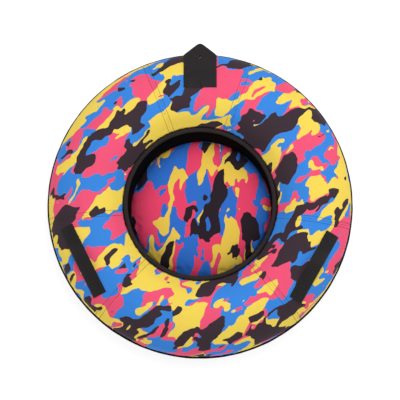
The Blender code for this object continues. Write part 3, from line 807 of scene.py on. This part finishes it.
def build_base(cloth):
    upper = seam_angle - (piping_radius + 2 * gap) / half_breadth
    half_opening = zipper_opening_width / 2 / half_breadth
    half_arc = zipper_arc / 2 / section_point(zipper_slope)[0]
    floor_radius = section_point(floor_angle)[0] - base_cloth
    edge = gap / floor_radius
    rear = (zipper_at - half_arc + edge, 2 * half_arc - 2 * edge)
    pieces = [
        ("base_side", upper, floor_angle, zipper_at + half_arc, tau - 2 * half_arc),
        ("rear_band_upper", upper, zipper_slope + half_opening, *rear),
        ("rear_band_lower", zipper_slope - half_opening, floor_angle, *rear),
    ]
    for node, first, last, start, arc in pieces:
        profile = Profile(section_line(first, last, 80))
        lift, flat_at = partial(base_lift, profile), rolled_out(section_radius)
        mesh = turned_cloth(node, profile, start, arc, lift, flat_at, base_step)
        piece = link("coated_" + node, mesh, cloth, "coated_base_cloth", node)
        solidify(piece, base_cloth)
        outer, inner = (float(profile.at(way)[0]) for way in (0, profile.length))
    build_floor_cloth(cloth, floor_radius)


def build_floor_cloth(cloth, radius):
    """The flat round underside, with a row of shallow creases near its edge."""
    ring, angle = pairs(np.linspace(0, 1, 40)[1:] * radius, ring_angles(200))
    rows, steps = ring.shape
    crease = floor_crease * (ring / radius) ** 4 * (1 + waves(angle * radius, (0.03, 0.047, 0.08), 33))
    rings = turned(ring, angle, crease * soft_box(ring, radius - floor_flat_edge, 0.01))
    points = np.concatenate(([[0, 0, 0]], rings.reshape(-1, 3)))
    faces = [(0, 1 + (i + 1) % steps, 1 + i) for i in range(steps)]
    faces += [tuple(1 + f) for f in grid_faces(rows, steps, False, True)]
    mesh = make_mesh("base_floor_cloth", points, faces, points[:, :2])
    floor_cloth = link("base_floor_cloth", mesh, cloth, "coated_base_cloth", "base_floor")
    solidify(floor_cloth, base_cloth)


# Seat cushion
def cushion_profile():
    """(radius, height) from the crown's top to the middle of the underside, before it is blown up."""
    edge = wall_radius - seat_edge_clearance - seat_shrink
    shoulder = seat_edge_height - seat_shoulder_drop
    rise = seat_edge_height + seat_crown - seat_shrink - shoulder
    shares = np.sin(np.linspace(0, pi / 2, 30))
    rings = [(share * edge, shoulder + rise * sqrt(1 - share**3)) for share in shares]
    side = shoulder - seat_bottom
    for drop in (0.2, 0.45, 0.7, 0.88, 1.0):
        drawn = seat_draw_in * sin(pi / 2 * drop) + (seat_bottom_draw_in - seat_draw_in) * drop**4
        rings.append((edge - drawn, shoulder - side * drop))
    return rings + [((edge - seat_bottom_draw_in) * share, seat_bottom) for share in (0.66, 0.33, 0)]


def turned_closed(name, rings, steps):
    """A closed turned mesh from rings whose first and last lie on the axis."""
    inner = rings[1:-1]
    points = [(0, 0, rings[0][1])]
    for radius, height in inner:
        points += [(radius * cos(a), radius * sin(a), height) for a in ring_angles(steps)]
    points.append((0, 0, rings[-1][1]))
    last = len(points) - 1
    base = last - steps
    faces = [(0, 1 + i, 1 + (i + 1) % steps) for i in range(steps)]
    faces += [tuple(1 + f[::-1]) for f in grid_faces(len(inner), steps, False, True)]
    faces += [(last, base + (i + 1) % steps, base + i) for i in range(steps)]
    return make_mesh(name, points, faces)


def evaluated_mesh(made):
    graph = bpy.context.evaluated_depsgraph_get()
    return bpy.data.meshes.new_from_object(made.evaluated_get(graph))


def read_points(mesh):
    points = np.zeros(len(mesh.vertices) * 3)
    mesh.vertices.foreach_get("co", points)
    return points.reshape(-1, 3)


def swell(mesh):
    """Blows a closed mesh up a little as cloth, with its edge drawn in as if gathered by a thread."""
    made = add_object("swelling", mesh)
    remesh = made.modifiers.new("Voxels", "REMESH")
    remesh.mode = "VOXEL"
    remesh.voxel_size = seat_voxel
    made.data = evaluated_mesh(made)
    made.modifiers.clear()
    rest = read_points(made.data)
    radius, lowest = np.hypot(rest[:, 0], rest[:, 1]), rest[:, 2].min()
    edge = radius.max()
    gathered, held = (made.vertex_groups.new(name=name) for name in ("gathered", "held"))
    for index, (r, z) in enumerate(zip(radius, rest[:, 2])):
        weight = np.exp(-(((r - edge) / gather_reach) ** 2) - ((z - seat_edge_height) / gather_reach_up) ** 2)
        gathered.add([index], float(weight), "REPLACE")
        if z < lowest + seat_voxel and r < edge - seat_bottom_draw_in:
            held.add([index], 1.0, "REPLACE")
    settings = made.modifiers.new("Cloth", "CLOTH").settings
    settings.effector_weights.gravity = 0
    for name, value in SWELLING.items():
        setattr(settings, name, value)
    for index in range(1, swell_frames + 1):
        scene.frame_set(index)
    moved = read_points(evaluated_mesh(made))
    scene.frame_set(1)
    made.modifiers.clear()
    result = made.data
    bpy.data.objects.remove(made)
    return result, rest, moved


def build_seat(cloth):
    """The printed cushion: blown up, gathered at its edge, and pressed in where the wall leans."""
    mesh = turned_closed("seat_cushion_cover", cushion_profile(), 120)
    mesh, rest, moved = swell(mesh)
    step = moved - rest
    size = np.linalg.norm(step, axis=1, keepdims=True)
    points = rest + step * np.minimum(1, swell_limit / np.maximum(size, 1e-9))
    plan, height = points[:, :2], points[:, 2]
    edge = wall_radius - seat_edge_gap
    plan *= edge / np.percentile(np.hypot(*plan.T), 97)
    radius, angle = np.hypot(*plan.T), np.arctan2(plan[:, 1], plan[:, 0])
    around = angle * edge
    height += (
        seat_gather * near(radius - edge, 0.02) * waves(around, (0.011, 0.017, 0.029), 41)
        + seat_fold * near(radius - edge, 0.045) * waves(around, (0.031, 0.053), 42)
    )
    plan *= np.minimum(1, (wall_radius - seat_least_gap) / np.maximum(radius, 1e-9))[:, None]
    share = np.minimum(1, radius / edge)
    plan *= (1 - seat_lean_share * wall_lean(angle) / edge * share**2)[:, None]
    height -= (seat_sink + seat_sink_share * wall_lean(angle)) * share**7
    height[:] = np.clip(height, seat_bottom, seat_edge_height + seat_crown + seat_top_slack)
    mesh.vertices.foreach_set("co", points.ravel())
    rolled = np.where(height < seat_edge_height - seat_turn_drop, edge + seat_edge_height - height, radius)
    lay_flat(mesh, plan / np.maximum(radius, 1e-6)[:, None] * rolled[:, None])
    mesh.shade_smooth()
    cushion = link("seat_cushion_cover", mesh, cloth, "printed_cloth", "seat_cushion")
    smooth = cushion.modifiers.new("Smooth", "SUBSURF")
    smooth.levels = smooth.render_levels = 1


def build_pad():
    """The flat foam disc under the cushion, with rounded edges."""
    radius, corner = wall_radius - wall_clearance - 2 * pad_inset, pad_corner
    low, high = floor_top + pad_inset, floor_top + pad_thickness - pad_inset
    turns = np.linspace(0, pi / 2, 5)
    rings = [(radius * share, high) for share in (0, 0.25, 0.5, 0.75, 0.92)]
    rings += [(radius - corner + corner * sin(a), high - corner + corner * cos(a)) for a in turns]
    rings += [(radius - corner + corner * cos(a), low + corner - corner * sin(a)) for a in turns]
    rings += [(radius * share, low) for share in (0.8, 0.4, 0)]
    mesh = turned_closed("seat_foam_disc", rings, 96)
    link("seat_foam_disc", mesh, grained("seat_foam"), "foam", "seat_foam_pad")


# Webbing
def ribbon(points, normals, flat, flipped):
    """A closed strap from a grid of points on its middle surface; its long edges are thinner."""
    rows, columns, _ = points.shape
    across = np.linspace(-1, 1, columns)
    half = webbing_depth / 2 * np.sqrt(np.clip(1 - np.abs(across) ** 8, 0, None))
    half = np.maximum(half, webbing_depth * 0.16)[None, :, None]
    top, bottom = points + normals * half, points - normals * half
    count = rows * columns
    upper = grid_faces(rows, columns)
    faces = [tuple(f) for f in upper] + [tuple(f[::-1] + count) for f in upper]
    grid = np.arange(count).reshape(rows, columns)
    border = [*grid[:, 0], *grid[-1, 1:], *grid[-2::-1, -1], *grid[0, -2:0:-1]]
    for first, second in zip(border, border[1:] + border[:1]):
        faces.append((first, second, second + count, first + count))
    if flipped:
        faces = [f[::-1] for f in faces]
    every = np.concatenate((top.reshape(-1, 3), bottom.reshape(-1, 3)))
    return every, faces, np.concatenate((flat.reshape(-1, 2), flat.reshape(-1, 2)))


def grid_normals(points, turned):
    normal = np.cross(np.gradient(points, axis=0), np.gradient(points, axis=1)) * turned
    return normal / np.linalg.norm(normal, axis=-1, keepdims=True)


def joined(name, shells):
    """One mesh from several (points, faces, flat) shells."""
    points, faces, flats = [], [], []
    for shell_points, shell_faces, shell_flat in shells:
        base = sum(map(len, points))
        points.append(shell_points)
        flats.append(shell_flat)
        faces += [tuple(int(v) + base for v in f) for f in shell_faces]
    mesh = make_mesh(name, np.concatenate(points), faces, np.concatenate(flats))
    mesh.validate()
    mesh.set_sharp_from_angle(angle=radians(50))
    return mesh


def hand_strap_point(at, along, across):
    """The middle surface of a hand strap; along and across are metres from its centre."""
    outward = Vector((cos(at), sin(at), 0))
    tangent = Vector((-outward.y, outward.x, 0))
    half_grip = hand_length / 2 - hand_sewn_length
    swell = (1 + cos(pi * min(1, abs(along) / half_grip))) / 2
    slope = asin((hand_radius - section_radius) / half_breadth)
    spot = outward * (hand_radius + across * cos(slope)) + tangent * along
    return on_cover(spot.x, spot.y, strap_gap + webbing_depth / 2) + Vector((0, 0, grip_rise * swell))


def build_hand_strap(side, at, webbing, thread):
    """Two halves that meet in the middle of the grip, each running from its sewn end to the raised grip."""
    half_length, half_width = hand_length / 2, hand_width / 2
    grip = f"hand_strap_{side}_grip"
    for end, sign in (("a", -1), ("b", 1)):
        alongs = np.linspace(0, half_length, 46) * sign
        acrosses = np.linspace(-half_width, half_width, 13)
        rows = [-alongs[1], *alongs]
        points = np.array([[hand_strap_point(at, float(a), float(c)) for c in acrosses] for a in rows])
        flat = np.stack(pairs(alongs, acrosses), axis=-1)
        shell = ribbon(points[1:], grid_normals(points, -sign)[1:], flat, sign < 0)
        name = f"hand_strap_{side}_half_{end}"
        strap = link(name, joined(name, [shell]), webbing, "webbing", body=None)
        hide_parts(f"hand_strap_{side}_end_{end}", *([grip] if end == "a" else []))
        start = hand_strap_point(at, sign * (half_length - hand_sewn_length), 0)
        hand_strap_point(at, 0, 0)
        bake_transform(strap)
        sew_hand_strap(name + "_stitches", at, sign, thread)


def sew_hand_strap(name, at, sign, thread):
    """A sewn box with a cross inside, on one end of a hand strap."""
    first = hand_length / 2 - hand_sewn_length + stitch_inset
    last = hand_length / 2 - stitch_inset
    side = hand_width / 2 - hand_row_inset

    def on_strap(along, across):
        point = hand_strap_point(at, sign * along, across)
        radius = hypot(point.x, point.y)
        angle = top_angle(radius)
        lean = cos(angle)
        up = Vector((point.x / radius * lean, point.y / radius * lean, sin(angle))).normalized()
        return point + up * webbing_depth / 2, up

    lines = box_lines(first, last, -side, side) + [((first, -side), (last, side)), ((last, -side), (first, side))]
    sew(name, [straight_row(on_strap, *line) for line in lines], STRAP_STITCH, thread, "webbing")


def tow_frame():
    """Origin on the loop's hinge line at the webbing's top face; Y out along the loop, Z up from it."""
    across, up = section_normal(top_angle(tow_sewn_to))
    return frame_at(on_cover(0, tow_sewn_to, strap_gap + webbing_depth), Vector((1, 0, 0)), Vector((0, across, up)))


def tow_half(side):
    """Half of the tow strap, from its sewn end over the 45 degree fold to the middle of the cross band."""
    placed = tow_frame()
    outer = tow_leg_gap / 2 + tow_width
    fold = (webbing_depth + tow_layer_gap) / 2
    apex = tow_free_leg + outer - (fold + webbing_depth / 2) * sqrt(2)
    eye_at = tow_free_leg - tow_eye_reach
    front = -webbing_depth / 2
    shares = np.linspace(0, 1, 15)
    rows, flats = [], []

    def columns(y):
        """Places across the webbing; the legs touch apart from a small eye just below the cross band."""
        inner = 0.00005 + tow_eye * np.exp(-((y - eye_at) / tow_eye_reach) ** 2)
        return inner + (outer - inner) * shares

    def folded_at(across):
        return apex - (np.hypot(across, tow_fold_blunt) - tow_fold_blunt)

    def add_row(places, flat):
        rows.append([placed @ Vector(place) for place in places])
        flats.append(flat)

    for y in np.linspace(tow_sewn_from, tow_sewn_to, 14)[:-1]:
        point = on_cover(0, y, strap_gap + webbing_depth / 2)
        rows.append([Vector((side * c, point.y, point.z)) for c in columns(-1)])
        flats.append([y - tow_sewn_to for _ in shares])
    for share in np.linspace(0, 1, 40):
        across = columns(apex * share)
        add_row([(side * c, folded_at(c) * share, front) for c in across], [folded_at(c) * share for c in across])
    across = columns(apex)
    folded = [folded_at(c) for c in across]
    for turn in np.linspace(0, pi, 9)[1:]:
        out = fold * sin(turn) / sqrt(2)
        down = fold * (1 - cos(turn))
        places = [(side * (c + out * c / (c + fold)), y + out, front - down) for c, y in zip(across, folded)]
        add_row(places, [y + fold * turn for y in folded])
    back = front - 2 * fold
    for share in np.linspace(0, 1, 12)[1:]:
        places = [(side * (c * (1 - share)), y, back) for c, y in zip(across, folded)]
        add_row(places, [y + fold * pi + c * share for c, y in zip(across, folded)])
    points, flats = np.array([[list(p) for p in row] for row in rows]), np.array(flats)
    flat = np.stack([flats, np.broadcast_to(shares * tow_width * side, flats.shape)], axis=-1)
    return ribbon(points, grid_normals(points, side), flat, side > 0)


def build_tow_strap(webbing, thread):
    mesh = joined("tow_strap", [tow_half(-1), tow_half(1)])
    strap = link("tow_strap", mesh, webbing, "webbing", "tow_leg_left", "tow_leg_right", "tow_loop", body=None)
    placed = tow_frame()
    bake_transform(strap)

    def on_strap(x, y):
        point, above = (on_cover(0, y, strap_gap + layers * webbing_depth) for layers in (1, 2))
        return Vector((x, point.y, point.z)), (above - point).normalized()

    first, last = tow_leg_gap / 2 + stitch_inset, tow_leg_gap / 2 + tow_width - stitch_inset
    low, high = tow_sewn_from + stitch_inset, tow_sewn_to - tow_last_row_inset
    rows = []
    for side in (-1, 1):
        lines = box_lines(side * first, side * last, low, high)
        lines.append(((side * first, high - tow_row_apart), (side * last, high - tow_row_apart)))
        rows += [straight_row(on_strap, *line) for line in lines]
    sew("tow_strap_stitches", rows, STRAP_STITCH, thread, "webbing")


# Zipper
def zipper_frame(along=0.0):
    """Origin on the teeth's middle line; X along the arc, Y up the cover, Z out of it."""
    radius, height = section_point(zipper_slope)
    across, up = section_normal(zipper_slope)
    angle = zipper_at + along / radius
    outward = Vector((cos(angle), sin(angle), 0))
    origin = outward * (radius + across * zipper_stand) + Vector((0, 0, height + up * zipper_stand))
    return frame_at(origin, Vector((-outward.y, outward.x, 0)), outward * across + Vector((0, 0, up)))


def tooth_shape(side):
    """Points of one moulded tooth, layer by layer: a rounded head towards the middle line, then a narrower neck."""
    outline = rounded_outline(tooth_width / 2, tooth_length / 2, 3.2, tooth_sides)
    layers = []
    for share, size in ((-1.0, 0.72), (-0.7, 1.0), (0.7, 1.0), (1.0, 0.72)):
        for x, y in outline:
            neck = 1 - tooth_neck * exp(-(((y * side - tooth_neck_at) / tooth_neck_reach) ** 2))
            layers.append(Vector((x * neck * size, y * size, share * tooth_thickness / 2)))
    return layers


def build_zipper_tape(name, side, cloth, plastic, thread):
    """A woven tape with its row of teeth and the stitches that hold it; side is 1 above the middle line."""
    inner = tooth_gap / 2 + tooth_length * tooth_free_share
    low, high = sorted((side * inner, side * zipper_width / 2))
    outward = Vector((cos(zipper_at), sin(zipper_at), 0))
    edges = [zipper_frame() @ Vector((0, across, zipper_tape / 2)) for across in (high, low)]
    profile = Profile([(edge.dot(outward), edge.z) for edge in edges])
    radius = section_point(zipper_slope)[0]
    half_arc = zipper_arc / 2 / radius - 2 * gap / cover_hole_radius

    def lift(angle, way):
        return tape_unevenness * waves(angle * radius, (0.011, 0.017, 0.029), 41 + side)

    mesh = turned_cloth(name, profile, zipper_at - half_arc, 2 * half_arc, lift, rolled_out(radius), tape_step)
    solidify(link("woven_" + name, mesh, cloth, "zipper_tape", name), zipper_tape)

    half_run = zipper_arc / 2 - tape_end_margin
    count = int(2 * half_run / tooth_pitch)
    shape = tooth_shape(side)
    points, faces = [], []
    around = [tuple(f[::-1]) for f in grid_faces(4, tooth_sides, False, True)]
    around += [tuple(range(tooth_sides)), tuple(range(4 * tooth_sides - 1, 3 * tooth_sides - 1, -1))]
    for index in range(count):
        along = (index - (count - 1) / 2) * tooth_pitch + side * tooth_pitch / 4
        placed = zipper_frame(along) @ Matrix.Translation((0, side * (tooth_gap + tooth_length) / 2, 0))
        faces += [tuple(v + len(points) for v in f) for f in around]
        points += [tuple(placed @ p) for p in shape]
    link(name + "_teeth", make_mesh(name + "_teeth", points, faces), plastic, "zipper_tape")

    def on_tape(way):
        placed = zipper_frame(way - half_run)
        inset = side * (zipper_width / 2 - zipper_row_inset)
        return placed @ Vector((0, inset, zipper_tape / 2)), placed.col[2].to_3d()

    sew(name + "_stitches", [(on_tape, 2 * half_run)], TAPE_STITCH, thread, "zipper_tape")


def dress_hardware():
    """Procedural materials for the CAD pieces that keep their shape."""
    slots = ("tube_rubber", "valve_brass", "valve_cap_plastic", "zipper_metal")
    finishes = {slot: grained(slot) for slot in slots}
    for subpart in frame["record"]["subparts"]:
        finish = finishes.get(subpart["material_slot"])
        if finish is not None:
            materials = frame["nodes"][subpart["node"]].data.materials
            materials.clear()
            materials.append(finish)


# Light, floor and camera
def build_floor():
    corners = [(x * floor_side, y * floor_side, 0) for x, y in ((-1, -1), (1, -1), (1, 1), (-1, 1))]
    mesh = make_mesh("floor", corners, [(0, 1, 2, 3)])
    shader = principled("floor", specular=0.0)
    shade = shader.mix(shader.noise(3.0, 2.0, where=shader.place()), *FLOOR_GREYS)
    glow = {"Emission Color": (1, 1, 1, 1), "Emission Strength": floor_glow}
    shader.fill(shader.inputs, {"Base Color": shade, "Roughness": 0.8, **glow})
    mesh.materials.append(shader.owner)
    floor = add_object("floor", mesh)
    floor.location.z = -floor_drop


def build_light():
    sky = Shader(bpy.data.worlds.new("studio"), "Background", {"Color": (1, 1, 1, 1)})
    height = sky.add("SeparateXYZ", {0: sky.add("TexCoord", {}).outputs["Generated"]}).outputs["Z"]
    sky.put(sky.spread(height, 0, 1, world_horizon, world_zenith), sky.inputs["Strength"])
    scene.world = sky.owner
    for name, place, size, power in LAMPS:
        data = bpy.data.lights.new(name, "AREA")
        data.size = size
        data.energy = power
        lamp = add_object(name, data)
        lamp.location = place
        lamp.rotation_euler = (lamp_target - Vector(place)).to_track_quat("-Z", "Y").to_euler()
    scene.view_settings.view_transform = "Standard"
    scene.view_settings.look = "None"


def build_camera():
    data = bpy.data.cameras.new("camera")
    data.sensor_width = sensor_width
    data.lens = sensor_width * camera_distance / view_width
    camera = add_object("camera", data)
    back = Vector((0, -cos(camera_tilt), sin(camera_tilt)))
    camera.location = camera_target + back * camera_distance
    camera.rotation_euler = (pi / 2 - camera_tilt, 0, 0)
    scene.camera = camera


build_camera()
build_floor()
build_light()
thread, black_thread = grained("seam_thread"), grained("black_thread")
webbing, coated = webbing_material(), coated_cloth()
build_panels(printed_cloth("printed_ring_cloth", RING_PRINT, RING_LEVELS, radians(40), (0, 0, 0)))
build_seam_stitches(thread)
build_rim(woven_cloth("binding_tape", RIM_BLACK, 0.0014, 0.7))
# The wall's colour is black cloth darkened further as painted shade of the well.
build_wall(woven_cloth("black_cloth", WALL_BLACK_AND_SHADE, 0.0012, 0.9, 0.0, 0.04))
# The seat cloth takes the darker seat print, which paints the well's shade into its colour.
build_seat(printed_cloth("printed_seat_cloth_shaded", SEAT_PRINT_SHADED, SEAT_LEVELS, radians(83), (0.31, 0.07, 0)))
build_pad()
build_piping(grained("edge_piping"))
build_base(coated)
build_tow_strap(webbing, black_thread)
build_hand_strap("left", left_strap_at, webbing, black_thread)
build_hand_strap("right", right_strap_at, webbing, black_thread)
zipper_cloth = woven_cloth("zipper_tape", ZIPPER_BLACK, 0.0009, 0.8, specular=0.15)
zipper_plastic = grained("zipper_teeth")
build_zipper_tape("zipper_tape_upper", 1, zipper_cloth, zipper_plastic, black_thread)
build_zipper_tape("zipper_tape_lower", -1, zipper_cloth, zipper_plastic, black_thread)
dress_hardware()
